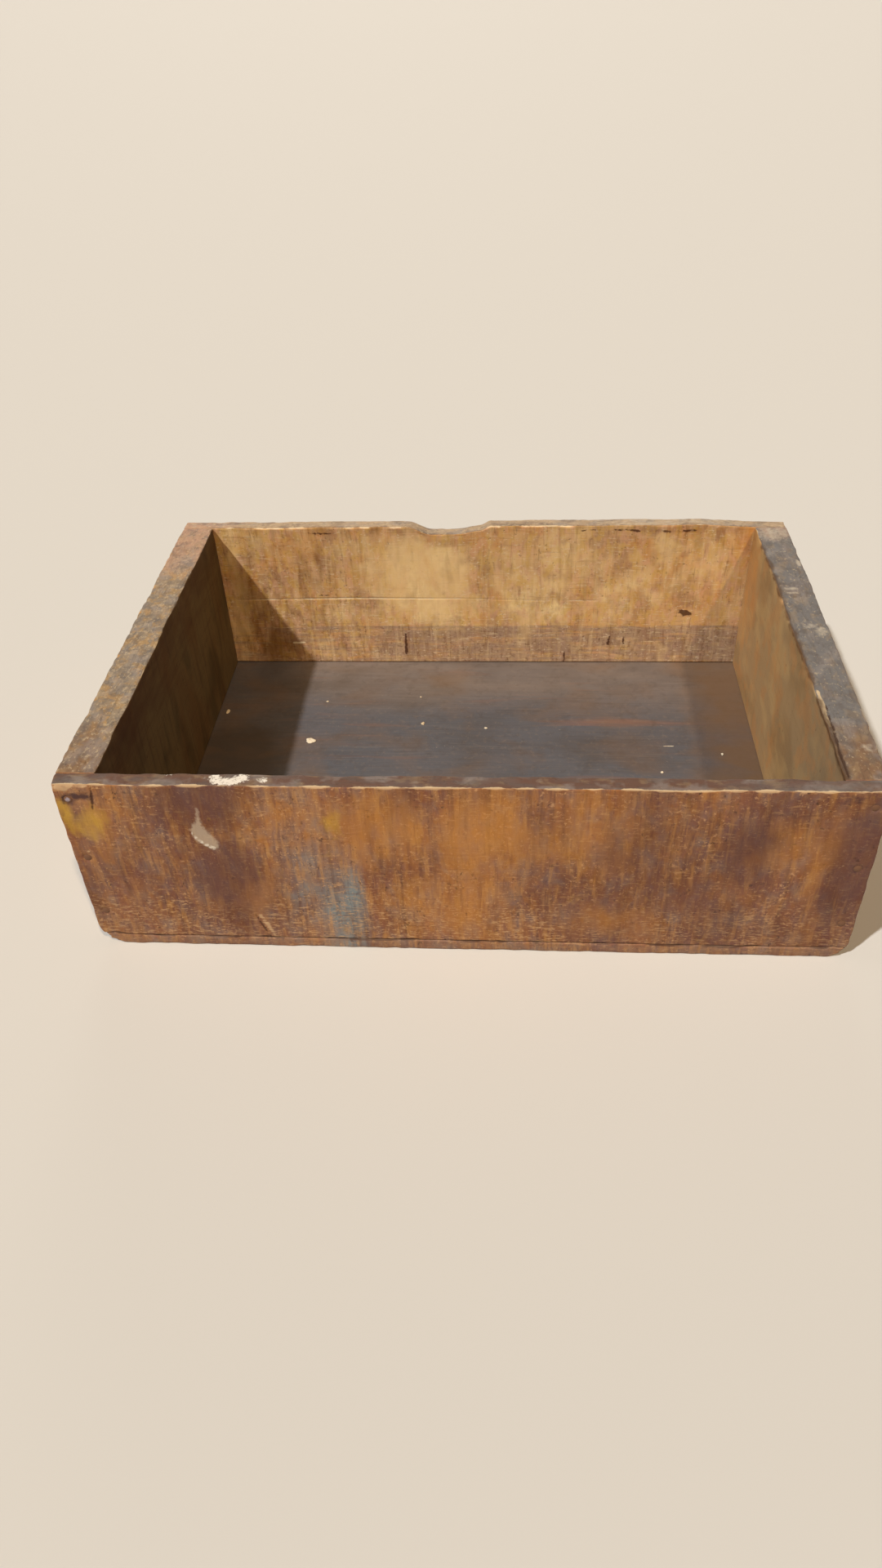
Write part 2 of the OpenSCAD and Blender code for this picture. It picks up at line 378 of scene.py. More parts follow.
right_inside_tints = [
    dict(tone="#d29048", size=(20, 16, 40), over=(0.52, 0.85), strength=0.60, marks=("orange_and_painted_bounce",), detail=2),
    dict(tone="#8f7049", size=(44, 16, 30), over=(0.47, 0.62), strength=0.50, detail=2),
    dict(tone="#cdaa74", size=(30, 12, 18), over=(0.50, 0.64), strength=0.45, detail=2),
    dict(tone="#8a7a62", size=(30, 20, 60), over=(0.55, 1.05), strength=0.65, marks=("grey_and_painted_reflection",), detail=2),
    dict(tone="#c78a50", size=(14, 8, 14), over=(0.52, 0.62), strength=0.32, detail=2),
    dict(tone="#7d5a36", size=(2.6, 5, 20), over=(0.54, 0.70), strength=0.10, relief=-0.03),
    dict(tone="#7d5a36", size=(26, 5, 1.2), over=(0.56, 0.70), strength=0.14, relief=-0.03),
    dict(tone="#5f3f22", size=(1.9, 2, 2.4), over=(0.65, 0.74), strength=0.45, relief=-0.06),
    dict(tone="#4f321c", size=(8, 4, 4), over=(0.70, 1.15), strength=0.85, marks=("bevel",), detail=2),
]

# Hand-worn pine: the stain has gone from the top edges, which are grey with dust and handling. The eye sees
# the left one mottled in ochre and mauve, the others plainer, with dark grain lines, knocked pale flecks
# and paint.
left_mottling = [
    dict(tone="#6e6863", size=(7, 6, 5), over=(0.49, 0.59), strength=0.56, detail=3),
    dict(tone="#ab8753", size=(6, 5, 5), over=(0.51, 0.60), strength=0.62, detail=3),
    dict(tone="#b9a486", size=(5, 4, 4), over=(0.55, 0.65), strength=0.48, detail=3),
]
rim_tints = [
    dict(tone="#6b6969", size=(30, 12, 12), over=(0.50, 0.95), strength=0.85, marks=("grey_and_painted_reflection",), detail=2),
    dict(tone="#b48f76", size=(30, 12, 12), over=(0.60, 1.15), strength=0.85, marks=("tan_and_painted_bounce",), detail=2),
    dict(tone="#76583f", size=(20, 10, 10), over=(0.55, 1.05), strength=0.85, marks=("brown_and_painted_shade",), detail=2),
    dict(tone="#9b8464", size=(9, 5, 5), over=(0.52, 0.66), strength=0.34, detail=3),
    dict(tone="#8d8580", size=(13, 9, 9), over=(0.51, 0.63), strength=0.45, detail=3),
    dict(tone="#5a524e", size=(9, 6, 6), over=(0.50, 0.64), strength=0.48, detail=3),
    dict(tone="#4c4036", size=(18, 1.2, 1.2), over=(0.53, 0.68), strength=0.28, relief=-0.08),
    dict(tone="#40342b", size=(1.8, 1.6, 1.6), over=(0.57, 0.70), strength=0.36, relief=-0.10),
    dict(tone="#c6b392", size=(2.2, 1.4, 1.4), over=(0.59, 0.70), strength=0.40, marks=("fleck",)),
    dict(tone="#c08c43", size=(3, 2, 2), over=(0.90, 1.15), strength=0.75, marks=("ochre",)),
    dict(tone="#b9ae9c", size=(3, 2, 2), over=(0.78, 1.24), strength=0.70, marks=("pale",)),
    dict(tone="#d3bb95", size=(3, 1.4, 1.4), over=(0.94, 1.18), strength=0.75, marks=("rub",), rough=0.15),
    dict(tone="#4f3a28", size=(8, 4, 4), over=(0.70, 1.15), strength=0.80, marks=("bevel",), detail=2),
    dict(tone="#e6dfd2", size=(1.2, 1.2, 1.2), over=(0.84, 1.06), strength=0.95, marks=("paint",),
         relief=0.15),
    dict(tone="#3d2a1e", size=(3, 2, 2), over=(0.92, 1.12), strength=0.90, marks=("crack",)),
]

LEFT, RIGHT = -1, 1
end_outside = tinted("stained_pine_ends", outside_ground, outside_tints, rough=0.62, grain=ALONG_Y)
end_inside = {
    # The left inside's dark ground is painted shade: the right inside below shows the same wood lit.
    LEFT: tinted("handled_pine_left_inside_painted_shade", "#6a5737", left_inside_painted_shade_tints, rough=0.60, grain=ALONG_Y),
    RIGHT: tinted("handled_pine_right_inside", "#b29268", right_inside_tints, rough=0.60, grain=ALONG_Y),
}
end_rim = {
    LEFT: tinted("hand_worn_pine_left_end", "#8b7b67", left_mottling + rim_tints, rough=0.72, grain=ALONG_Y),
    RIGHT: tinted("hand_worn_pine_right_end", "#726a60", rim_tints, rough=0.72, grain=ALONG_Y),
}
# How hard each top edge was knocked, and how brown it is towards the front.
knocks = {LEFT: 1.0, RIGHT: 0.4}
front_browning = {LEFT: 0.60, RIGHT: 0.76}
# How far down the wear goes, and the usual, least and greatest radius of a worn edge.
end_wear_height = 24
end_edge, least_edge, most_end_edge = 0.7, 0.4, 3.2
# The right board's inner edge is worn to a lip: the stretches of Y where it begins and ends, how far its
# wear reaches from the edge, and what it adds to the edge's radius.
lip_start, lip_end, lip_reach, lip_ease = (-56, -44), (92, 108), 5, 1.2
# How deep the split has opened, and how much lower the right board is worn at its back end.
split_depth, back_end_drop = 1.2, 1.8

for side, end_node in ((LEFT, "left_end_board"), (RIGHT, "right_end_board")):
    low, high = corners(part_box(end_node))
    seed = 10 + side
    flat, cells = board_skin(
        grid_lines(low[0], high[0], step=1.5, fine_step=0.4, places=(low[0], high[0]), reach=3),
        grid_lines(low[1], high[1], step=1.1, fine_step=0.5, places=(low[1], high[1]), reach=3),
        grid_lines(low[2], high[2], step=1.6, fine_step=0.4, places=(low[2], high[2]), reach=3))
    x, y, z = flat.T
    top_z = high[2]
    inner_x, outer_x = (low[0], high[0]) if side == RIGHT else (high[0], low[0])
    edge = edge_gap(flat, low, high)
    rim = smooth(top_z - end_wear_height, top_z, z)
    serration = np.clip(0.5 * knocks[side] * unevenness(flat, 4.5, seed), 0, 0.9)
    bites = np.clip(knocks[side] * (0.4 * unevenness(flat, 13, seed + 10) - 0.3), 0, 1.2)
    from_lip = np.hypot(x - inner_x, top_z - z)
    lip_length = (side == RIGHT) * smooth(*lip_start, y) * (1 - smooth(*lip_end, y))
    lip_wear = lip_length * np.exp(-(from_lip / lip_reach) ** 2)
    edge_radius = end_edge + rim * (serration + bites) + lip_ease * lip_wear
    shaped = eased(flat, low, high, np.clip(edge_radius, least_edge, most_end_edge))
    middle, half = (low[0] + high[0]) / 2, (high[0] - low[0]) / 2
    waves = 0.1 + 0.14 * unevenness(flat, 9, seed + 30) + 0.25 * unevenness(flat, 36, seed + 50)
    shaped[:, 0] += (middle - x) / half * rim ** 2 * np.clip(waves, 0, 1.6)
    shaped[:, 2] -= rim * np.clip(0.15 + 0.2 * unevenness(flat, 46, seed + 40), 0, 0.8)
    marks = {
        "rub": np.exp(-edge / 0.9) * rim * (0.34 + 0.3 * unevenness(flat, 12, seed + 60)) * (1 - lip_wear),
        "brown_and_painted_shade": front_browning[side] * (1 - smooth(-113, -60, y)),
    }
    if side == LEFT:
        marks["fleck"] = np.full(len(flat), 0.04)
        marks["tan_and_painted_bounce"] = 0.60 * smooth(20, 100, y)
        marks["ochre"] = soft_spots(flat, [
            ((outer_x, spot_y, top_z), (2.5, 5, 3), 0.6) for spot_y in (-58, -22, 18, 44, 82)])
        marks["red"] = 0.5 * np.exp(-(from_lip / 26) ** 2)
    else:
        splinter = [
            (158.6, -50, top_z, 0.4), (158.2, -60, top_z, 1.3), (158.0, -74, top_z, 1.0),
            (158.0, -82, top_z - 1, 0.2)]
        split = [
            (159.8, -62, top_z, 0.2), (159.2, -78, top_z, 0.5), (158.6, -96, top_z, 0.6),
            (158.8, -112, top_z, 0.4)]
        in_split = stroke_mark(flat, split, 0.9)
        marks["rub"] = np.maximum(marks["rub"] * (1 - lip_length), stroke_mark(flat, splinter, 1.0))
        marks["crack"] = in_split
        marks["bevel"] = np.maximum(
            lip_length * np.exp(-(from_lip / 2.2) ** 2) * (0.7 + 0.1 * unevenness(flat, 12, seed + 70)),
            0.8 * (1 - smooth(-60, -50, y)) * np.exp(-(from_lip / 2.4) ** 2))
        marks["orange_and_painted_bounce"] = soft_spots(flat, [((inner_x, 113, 90), (20, 34, 60), 0.35)])
        marks["grey_and_painted_reflection"] = np.where(z == top_z, 0.55 * smooth(-110, -50, y), 0.4 * (1 - smooth(-90, 0, y)))
        marks["tan_and_painted_bounce"] = 0.36 * smooth(82, 110, y) * (z == top_z)
        marks["pale"] = soft_spots(flat, [
            ((164, 41, top_z), (5, 1.6, 4), 0.75), ((164, 37, top_z), (5, 1.2, 4), 0.7),
            ((171, 0, top_z), (4, 6, 4), 0.7), ((173, 68, top_z), (1.5, 4, 3), 1.0),
            ((167, 5, top_z), (5, 4, 4), 0.55), ((166, 106, top_z), (12, 12, 4), 0.62),
            ((170, -92, top_z), (4, 5, 4), 0.5)])
        shaped[:, 2] -= split_depth * smooth(0.4, 0.9, in_split) + back_end_drop * rim * smooth(60, 113, y)
    shaped = knocked_corners(shaped)
    faces_in = lies_on(flat, cells, ALONG_X, inner_x)
    faces_up = lies_on(flat, cells, ALONG_Z, top_z)
    skins = (end_outside, end_inside[side], end_rim[side])
    piece = piece_from("worn_" + end_node, shaped, cells, skins, faces_in + 2 * faces_up, marks)
    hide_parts(end_node)
    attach(piece, "root")


# Front board
# A thin pine board nailed over the front of the two end boards, rough-sawn and stained outside.
# Its lower corners are worn round, its top edge is rubbed to the raw wood, and paint has been spilt on it.

front_outside = tinted("stained_pine_front", outside_ground, outside_tints, rough=0.60)
front_inside = tinted("stained_pine_front_inside", "#7a5a3c", outside_tints, rough=0.60)
front_rim = tinted("hand_worn_pine_front", "#60463a", rim_tints, rough=0.70)


def row_of_heads(node, axis, count):
    """The middles of a row of nails: across the row its box is one head wide, and along the row the first
    and last heads lie half a head inside it."""
    low, high = corners(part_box(node))
    across = 1 - axis if axis < 2 else 0
    head_radius = (high[across] - low[across]) / 2
    heads = np.repeat([(low + high) / 2], count, axis=0)
    heads[:, axis] = np.linspace(low[axis] + head_radius, high[axis] - head_radius, count)
    return heads, head_radius


def head_distance(points, heads, axis):
    """Distance of each point from the nearest nail's line, which runs along the axis."""
    other = [i for i in range(3) if i != axis]
    return np.linalg.norm(points[:, None, other] - heads[None, :, other], axis=2).min(axis=1)


# The hammer's bruise round a nail: a pit that slopes from inside the head's rim to outside it, in a dish.
PIT_DEPTH, SLOPE_INSIDE, SLOPE_OUTSIDE = 0.45, 0.2, 1.2
DISH_DEPTH, DISH_REACH = 0.1, 4.5


def nail_pit(distance, head_radius):
    """Depth of the wood round a driven nail: a smooth step that bares the head's crown and closes over its
    rim, and a bell of the distance."""
    pit = PIT_DEPTH * (1 - smooth(head_radius - SLOPE_INSIDE, head_radius + SLOPE_OUTSIDE, distance))
    return pit + DISH_DEPTH * np.exp(-(distance / DISH_REACH) ** 2)


# How far in from a board's sawn ends they are nibbled, and how deep at most.
END_WEAR, DEEPEST_NIBBLE = 10, 0.6


def ragged_ends(points, flat, low, high, seed):
    """A board's two sawn ends, nibbled: chance height of two lengths, cut off at none and at the deepest,
    and faded out over the wear."""
    near_end = 1 - smooth(0, END_WEAR, np.minimum(flat[:, 0] - low[0], high[0] - flat[:, 0]))
    nibble = 0.12 + 0.14 * unevenness(flat, 8, seed) + 0.10 * unevenness(flat, 22, seed + 1)
    points[:, 0] -= np.sign(flat[:, 0]) * near_end * np.clip(nibble, 0, DEEPEST_NIBBLE)


# Nails at a corner, and in a long and a short row of the bottom.
CORNER_NAILS, LONG_ROW, SHORT_ROW = 3, 5, 3
# The wear of a face fades out within this depth of the face.
FACE_DEPTH = 3
# How far down the two thin walls are worn, the usual radius of their edges, and how much nicks change it.
wall_wear_height, wall_edge, wall_nicks = 12, 0.8, 0.3
# What a chip adds to the radius of the front's edges, and their greatest radius.
front_chip_depth, most_front_edge = 1.2, 3

low, high = corners(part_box("front_board"))
outer_y, inner_y, top_z = low[1], high[1], high[2]
left_heads, _ = row_of_heads("front_left_nails", ALONG_Z, CORNER_NAILS)
right_heads, head_radius = row_of_heads("front_right_nails", ALONG_Z, CORNER_NAILS)
heads = np.concatenate([left_heads, right_heads])
heads[:, 1] = outer_y
left_low, left_mid, left_top, right_low, right_mid, right_top = heads
# The grid is finer at the edges and the nails, and where a crack, the splash, the flake and a scratch lie.
crack_x, splash_x, flake_x, scratch_x = -157, -113, -94, 162
fine_xs = (low[0], heads[0, 0], crack_x, splash_x, flake_x, scratch_x, heads[-1, 0], high[0])
fine_zs = (low[2], *heads[:3, 2], high[2])
flat, cells = board_skin(
    grid_lines(low[0], high[0], step=1.5, fine_step=0.5, places=fine_xs, reach=4),
    grid_lines(low[1], high[1], step=0.9, fine_step=0.35, places=(low[1], high[1]), reach=1.5),
    grid_lines(low[2], high[2], step=1.4, fine_step=0.45, places=fine_zs, reach=3.5))
x, y, z = flat.T
edge = edge_gap(flat, low, high)
rim = smooth(top_z - wall_wear_height, top_z, z)
face = 1 - smooth(0, FACE_DEPTH, y - outer_y)
nicks = unevenness(flat, 7, 101) + unevenness(flat, 26, 102)
chips = [
    (1.0, [(-173, outer_y, 98.2, 1.6), (-169, outer_y, 97.8, 2.2), (-165.5, outer_y, 99.0, 1.2)]),
    (0.9, [(-163.5, outer_y, 98.8, 1.2), (-160.5, outer_y, 98.8, 1.6), (-158.8, outer_y, 99.4, 0.8)]),
    (0.7, [(158, outer_y, 99.4, 0.6), (164, outer_y, 99.0, 1.2)])]
chipped = strokes(flat, chips, 1.0)
edge_radius = wall_edge + wall_nicks * rim * nicks + front_chip_depth * chipped
shaped = eased(flat, low, high, np.clip(edge_radius, least_edge, most_front_edge))
shaped[:, 2] -= rim * np.clip(0.1 + 0.16 * unevenness(flat, 40, 103), 0, 0.6)
distance = head_distance(flat, heads, ALONG_Y)
shaped[:, 1] += face * (
    nail_pit(distance, head_radius) + np.clip(0.12 + 0.06 * unevenness(flat, 55, 104), 0, 0.4))
ragged_ends(shaped, flat, low, high, 107)
shaped = knocked_corners(shaped)

splash = [
    (-113.4, outer_y, 87, 0.2), (-113.8, outer_y, 80, 0.8), (-115.2, outer_y, 74.5, 3.0),
    (-113.2, outer_y, 70, 3.9), (-109.8, outer_y, 66, 2.6)]
splash_rim = [
    (-118.4, outer_y, 74, 0.4), (-116.6, outer_y, 69.2, 0.9), (-113, outer_y, 65.6, 0.9),
    (-109.4, outer_y, 63.6, 1.0)]
smear = [
    (-104.4, -115.4, top_z, 2.9), (-103.4, -118.4, top_z, 3.0), (-99.5, -119.0, top_z, 3.0),
    (-95.4, -118.4, top_z, 3.1), (-92.4, -116.0, top_z, 3.1)]
smear_tail = [(-108.6, -116.4, top_z, 1.2), (-105, -117.0, top_z, 2.2)]
dab = [(-85.2, -117.4, top_z, 1.2), (-83.4, -117.4, top_z, 2.4)]
top_fleck = [(-126, -114.4, top_z, 0.9), (-123, -114.4, top_z, 0.7)]
painted = [(1.0, splash), (0.60, smear), (0.42, smear_tail), (0.58, dab), (0.54, top_fleck)]
flake = [(-95.4, outer_y, 21, 1.4), (-92.4, outer_y, 14, 1.7), (-89.8, outer_y, 6, 0.7)]
scratches = [
    (0.66, flake), (0.9, [(-167.6, outer_y, 60.4, 0.5), (-167.2, outer_y, 60.9, 0.5)]),
    (0.6, [(46.6, outer_y, 85, 0.4), (50.4, outer_y, 76, 0.7)]),
    (0.55, [(-55.4, outer_y, 58, 0.4), (-55, outer_y, 52, 0.6)]),
    (0.7, [(159, outer_y, 55.5, 0.4), (162.6, outer_y, 58.6, 0.5)]),
    (0.6, [(168, outer_y, 53, 0.5), (171, outer_y, 54, 0.4)]),
    (0.8, [(169, outer_y, 80, 0.6), (171, outer_y, 80.5, 0.4)])]
cracks = [
    (1.0, [(-157, outer_y, 99, 0.3), (-158.2, outer_y, 91, 0.6), (-159.4, outer_y, 85, 0.2)]),
    (0.85, [(-97.6, outer_y, 22, 0.4), (-94.8, outer_y, 13, 0.6), (-92, outer_y, 6, 0.3)]),
    (0.55, [(-88.6, outer_y, 86, 0.3), (-88.2, outer_y, 70, 0.6)]),
    (0.55, [(0.6, outer_y, 28, 0.4), (1.4, outer_y, 20, 0.9)]),
    (0.65, [(165, outer_y, 63.5, 0.8), (168, outer_y, 62, 1.2)]),
    (0.5, [(171, outer_y, 71, 1.2), (173, outer_y, 69, 1.4)]),
    (0.5, [(152.4, outer_y, 82, 0.8), (153.6, outer_y, 77, 1.0)]),
    (0.55, [(90, outer_y, 76, 0.3), (90.6, outer_y, 66, 0.9), (90, outer_y, 52, 0.3)])]
seam = np.exp(-((z - low[2]) / 1.4) ** 2) * (0.50 + 0.16 * unevenness(flat, 18, 108))
smudge = soft_spots(flat, [
    ((-51, outer_y, 32), (7, 4, 22), 0.95), ((-56, outer_y, 20), (13, 4, 30), 0.72),
    ((-70, outer_y, 46), (13, 4, 36), 0.34), ((-53, outer_y, 2), (11, 4, 14), 0.70)])
marks = {
    "rub": np.maximum.reduce([
        np.exp(-edge / 1.3) * rim * face * (0.84 + 0.24 * unevenness(flat, 14, 105)),
        0.75 * chipped, strokes(flat, scratches, 1.0)]),
    "dark_and_painted_shade": soft_spots(flat, [
        ((-112, outer_y, 92), (22, 4, 22), 0.52), ((-105, outer_y, 44), (20, 4, 26), 0.60),
        ((64, outer_y, 62), (11, 4, 26), 0.30), ((121, outer_y, 66), (16, 4, 28), 0.46),
        ((168, outer_y, 50), (20, 4, 50), 0.62), ((-172, outer_y, 30), (10, 4, 30), 0.26),
        ((-136, outer_y, 40), (30, 4, 40), 0.18), ((140, outer_y, 18), (34, 4, 14), 0.20),
        ((-36, outer_y, 46), (14, 4, 12), 0.20), ((52, outer_y, 44), (22, 4, 12), 0.18),
        ((92, outer_y, 40), (60, 4, 60), 0.25)]),
    "gold_and_painted_bounce": soft_spots(flat, [
        ((-4, outer_y, 74), (48, 4, 20), 0.36), ((30, outer_y, 92), (26, 4, 10), 0.20),
        ((-10, outer_y, 30), (22, 4, 22), 0.26), ((70, outer_y, 24), (26, 4, 12), 0.20),
        ((142, outer_y, 66), (12, 4, 20), 0.10)]),
    "ochre": soft_spots(flat, [
        ((-163, outer_y, 77), (8, 4, 10), 0.54), ((-172, outer_y, 84), (5, 4, 9), 0.58),
        ((-56, outer_y, 78), (6, 4, 10), 0.40)]),
    "fleck": 0.09 * (1 - smooth(22, 44, z)) - 0.03 - 0.05 * rim,
    "blue": smudge * (1 - smooth(-47, -42, x)) * face,
    "iron": face * soft_spots(flat, [
        (left_top + (5, 0, 2), (9, 4, 3), 0.75), (left_top, (4, 4, 4), 0.8), (left_mid, (3, 4, 3), 0.2),
        (left_low, (3, 4, 3), 0.3), (right_top, (3, 4, 3), 0.3), (right_mid, (6, 4, 4), 0.5),
        (right_low, (3, 4, 3), 0.3), ((160, outer_y, 96), (8, 4, 4), 0.5)]),
    "paint": strokes(flat, painted, 1.6),
    "thick_paint": 0.8 * stroke_mark(flat, splash_rim, 1.0),
    "crack": np.maximum(strokes(flat, cracks, 1.0), seam * face),
    "grey_and_painted_reflection": 0.25 * smooth(80, 150, x),
}
faces_in = lies_on(flat, cells, ALONG_Y, inner_y)
faces_up = lies_on(flat, cells, ALONG_Z, top_z)
skins = (front_outside, front_inside, front_rim)
front_board = piece_from("worn_front_board", shaped, cells, skins, faces_in + 2 * faces_up, marks)
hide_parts("front_board")
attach(front_board, "root")


# Back board
# The same thin pine board over the back of the end boards, with a finger notch cut into its top edge.
# Its inner face is honey-coloured above a greyer band, with a scribed line and one knot.

back_outside = tinted("stained_pine_back", outside_ground, outside_tints, rough=0.60)
back_inside = tinted("honey_pine_back", inside_ground, inside_tints, rough=0.60)
back_rim = tinted("hand_worn_pine_back", "#ae967a", rim_tints, rough=0.70)
# The greatest radius of a worn edge, and how much lower the board is worn at its right corner.
most_back_edge, right_corner_drop = 2.6, 2.4
scribe_z, scribe_depth = 52.5, 0.3

low, high = corners(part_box("back_board"))
inner_y, outer_y, top_z = low[1], high[1], high[2]
left_heads, _ = row_of_heads("back_left_nails", ALONG_Z, CORNER_NAILS)
right_heads, head_radius = row_of_heads("back_right_nails", ALONG_Z, CORNER_NAILS)
heads = np.concatenate([left_heads, right_heads])
# The grid is finer at the edges, nails and scribed line, at three saw ticks and at the notch's step.
tick_xs, notch_step_x = (-47, 80, 88), 4
fine_xs = (low[0], heads[0, 0], *tick_xs, notch_step_x, heads[-1, 0], high[0])
fine_zs = (low[2], *heads[:3, 2], scribe_z, high[2])
flat, cells = board_skin(
    grid_lines(low[0], high[0], step=1.5, fine_step=0.5, places=fine_xs, reach=4),
    grid_lines(low[1], high[1], step=0.9, fine_step=0.35, places=(low[1], high[1]), reach=1.5),
    grid_lines(low[2], high[2], step=1.4, fine_step=0.45, places=fine_zs, reach=3.5))
x, y, z = flat.T
edge = edge_gap(flat, low, high)
rim = smooth(top_z - wall_wear_height, top_z, z)
face = 1 - smooth(0, FACE_DEPTH, outer_y - y)
inner_face = 1 - smooth(0, FACE_DEPTH, y - inner_y)
nicks = unevenness(flat, 7, 201) + unevenness(flat, 26, 202)
# Where splinters have broken out of the inner edge: from and to along X.
ARRIS_CHIPS = (
    (-132, -127.5), (-124.5, -116), (-112, -103.6), (-78, -74), (-69.5, -65),
    (-52, -46), (5, 12), (24.7, 31), (32.5, 37), (47, 53))
chipped = strokes(flat, [
    (1.0, [(first, inner_y, top_z, 1.0), (last, inner_y, top_z, 1.0)]) for first, last in ARRIS_CHIPS], 0.8)
edge_radius = wall_edge + wall_nicks * rim * nicks + chipped
shaped = eased(flat, low, high, np.clip(edge_radius, least_edge, most_back_edge))
worn_low = np.clip(0.05 + 0.15 * unevenness(flat, 40, 203), 0, 0.6)
shaped[:, 2] -= rim * (worn_low + right_corner_drop * smooth(125, 178, x))
distance = head_distance(flat, heads, ALONG_Y)
shaped[:, 1] -= face * (
    nail_pit(distance, head_radius) + np.clip(0.12 + 0.06 * unevenness(flat, 55, 204), 0, 0.4))
scribe = [
    (-150, inner_y, scribe_z - 1, 0.2), (-80, inner_y, scribe_z, 0.5), (-10, inner_y, scribe_z - 0.5, 0.2),
    (40, inner_y, scribe_z - 2, 0.1), (70, inner_y, scribe_z - 2, 0.3)]
scribed = stroke_mark(flat, scribe, 0.8)
shaped[:, 1] += scribe_depth * inner_face * smooth(0.3, 0.8, scribed)
ragged_ends(shaped, flat, low, high, 207)
shaped = knocked_corners(shaped)
# The notch was cut by hand: along X it falls steeply on the left, rises slowly by half, and ends on the
# right in a small step. The grid above its foot is drawn down with it.
notch_depth, notch_foot = 5, 22
notch_fall, notch_rise, notch_step = (-43, -28), (-16, 3), (1, 7)
notch = notch_depth * smooth(*notch_fall, x) * (
    1 - 0.5 * smooth(*notch_rise, x) - 0.5 * smooth(*notch_step, x))
shaped[:, 2] -= notch * smooth(top_z - notch_foot, top_z, z)

saw_ticks = [
    (1.0, [(-47, inner_y, 27, 0.6), (-47.4, inner_y, 13, 1.0)]),
    (0.9, [(79.5, inner_y, 25, 0.7), (79, inner_y, 20, 1.0)]),
    (0.85, [(88, inner_y, 25, 0.5), (88.4, inner_y, 20, 0.8)]),
    (0.6, [(10, inner_y, 33, 0.4), (10, inner_y, 22, 0.6)]),
    (0.7, [(52, inner_y, 14, 0.8), (52.4, inner_y, 7, 1.2)]),
    (0.7, [(-99, inner_y, 54.6, 0.5), (-91, inner_y, 54.8, 0.7)]),
    (0.6, [(51, inner_y, 91, 0.7), (54, inner_y, 92, 0.6)]),
    (0.5, [(-68, inner_y, 56, 0.4), (-68, inner_y, 43, 0.5)]),
    (0.5, [(8, inner_y, 54, 0.3), (8, inner_y, 43, 0.4)]),
    (0.5, [(-150, inner_y, 6, 0.5), (150, inner_y, 6, 0.5)]),
    (0.8, [(58.7, inner_y, 96.8, 0.6), (67, inner_y, 97.4, 0.5)]),
    (0.85, [(76.5, inner_y, 97.2, 0.5), (86, inner_y, 97, 0.6), (92, inner_y, 96.2, 1.0)]),
    (0.8, [(101.8, inner_y, 96.6, 0.5), (110, inner_y, 95.4, 0.9)]),
    (0.8, [(117, inner_y, 96, 0.9), (125.6, inner_y, 96.6, 0.6)]),
    (0.6, [(-101, inner_y, 96.4, 0.7), (-92, inner_y, 95.8, 1.2), (-84.5, inner_y, 96.2, 0.8)])]
knot = [(121.5, inner_y, 42.6, 1.6), (124, inner_y, 41.6, 2.2), (127, inner_y, 41, 1.2)]
chip = [(-119, inner_y, 20.6, 0.8), (-112, inner_y, 20.4, 0.7)]
marks = {
    "rub": np.maximum.reduce([
        np.exp(-edge / 0.9) * rim * (0.14 + 0.36 * unevenness(flat, 11, 205)), 0.72 * chipped,
        scribed * smooth(-152, -140, x) * inner_face, stroke_mark(flat, chip, 1.0)]),
    "gold_and_painted_bounce": soft_spots(flat, [
        ((-36, inner_y, 70), (26, 4, 20), 0.82), ((-34, inner_y, 48), (28, 4, 14), 0.50),
        ((60, inner_y, 62), (80, 4, 34), 0.16), ((100, inner_y, 74), (44, 4, 24), 0.18),
        # The last spot is painted bounce light: a golden stripe in the shaded left corner.
        ((-147, inner_y, 60), (6, 4, 36), 0.40)]),
    "orange_and_painted_bounce": soft_spots(flat, [
        # The first spot is painted bounce light: a warm glow in the upper right corner, as if lit from the
        # right end.
        ((154, inner_y, 86), (8, 4, 26), 0.36), ((-112, inner_y, 80), (28, 4, 22), 0.16)]),
    # Dark blotches. The spots round x -136, -130 and -118 deepen the left end's shadow on the wall: painted
    # shade.
    "dark_and_painted_shade": soft_spots(flat, [
        ((-92, inner_y, 84), (10, 4, 9), 0.25), ((3, inner_y, 66), (5, 4, 8), 0.28),
        ((-136, inner_y, 52), (18, 4, 34), 0.34), ((-130, inner_y, 18), (20, 4, 22), 0.52),
        ((-18, inner_y, 93), (20, 4, 2.5), 0.40),
        ((110, inner_y, 96.5), (34, 4, 2), 0.30), ((-92, inner_y, 96.4), (12, 4, 2.2), 0.45),
        ((-118, inner_y, 12), (16, 4, 12), 0.36)]),
    "band": 0.62 * (1 - smooth(32.4, 34, z)) * inner_face * (0.78 + 0.22 * smooth(-75, -60, x)),
    # Darker along the top inner edge between the chips; the first two spots deepen the left end's shadow:
    # painted shade.
    "brown_and_painted_shade": inner_face * np.maximum(0.42 * np.exp(-edge / 1.4) * rim * (1 - chipped), soft_spots(flat, [
        ((-142, inner_y, 42), (10, 4, 30), 0.40), ((-130, inner_y, 17), (16, 4, 16), 0.50),
        ((-104, inner_y, 70), (22, 4, 34), 0.16)])),
    "ticks": np.maximum(0.05 * (1 - smooth(30, 36, z)), 0.03 * (1 - smooth(-80, -50, x))) - 0.01,
    "knot": np.maximum(stroke_mark(flat, knot, 1.5), strokes(flat, saw_ticks, 1.0)),
    "iron": 0.6 * np.exp(-(distance / 2.6) ** 2) * face,
    "crack": face * np.exp(-((z - low[2]) / 1.4) ** 2) * (0.50 + 0.16 * unevenness(flat, 18, 208)),
    "fleck": 0.09 * (z == top_z) - 0.02,
    "tan_and_painted_bounce": 0.60 * (1 - smooth(-165, -120, x)),
    "pale": 0.45 * smooth(40, 90, x) * (1 - smooth(140, 165, x)),
}
faces_in = lies_on(flat, cells, ALONG_Y, inner_y)
faces_up = lies_on(flat, cells, ALONG_Z, top_z)
skins = (back_outside, back_inside, back_rim)
back_board = piece_from("worn_back_board", shaped, cells, skins, faces_in + 2 * faces_up, marks)
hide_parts("back_board")
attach(back_board, "root")
